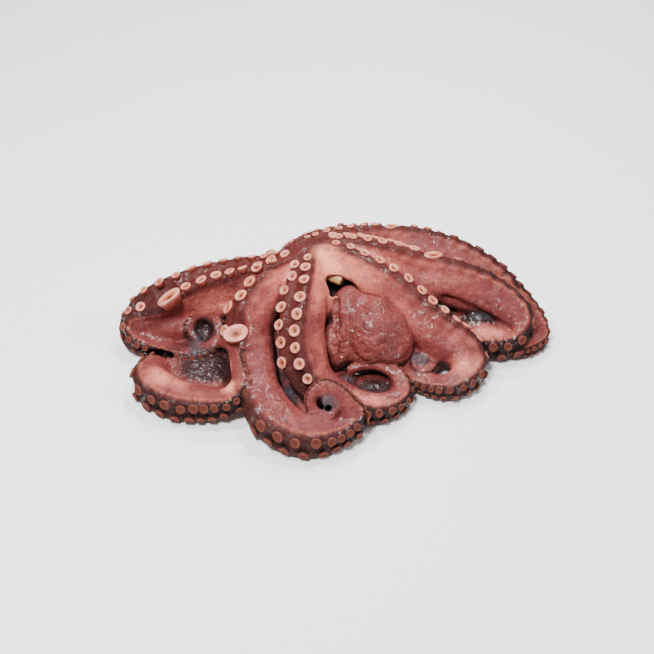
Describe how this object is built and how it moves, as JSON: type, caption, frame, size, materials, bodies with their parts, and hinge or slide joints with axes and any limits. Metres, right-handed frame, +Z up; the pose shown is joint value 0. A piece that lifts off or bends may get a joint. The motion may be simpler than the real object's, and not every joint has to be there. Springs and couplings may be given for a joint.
{
  "type": "cooked octopus",
  "caption": "Whole cooked octopus, crown of the arms uppermost: arms drape outwards with suckers up and coil at the tips, mantle tucked in front.",
  "frame": {"origin": "centre of the bounding box, on the surface the octopus rests on", "axes": "+X along the widest spread of the arms, -Y towards the side where the mantle is tucked in, +Z up"},
  "size_m": [0.3702, 0.2186, 0.0844],
  "materials": {
    "flesh": "wet cooked skin, pinkish red-brown with paler suckers"
  },
  "bodies": {
    "root": {"octopus": "flesh"}
  },
  "joints": []
}
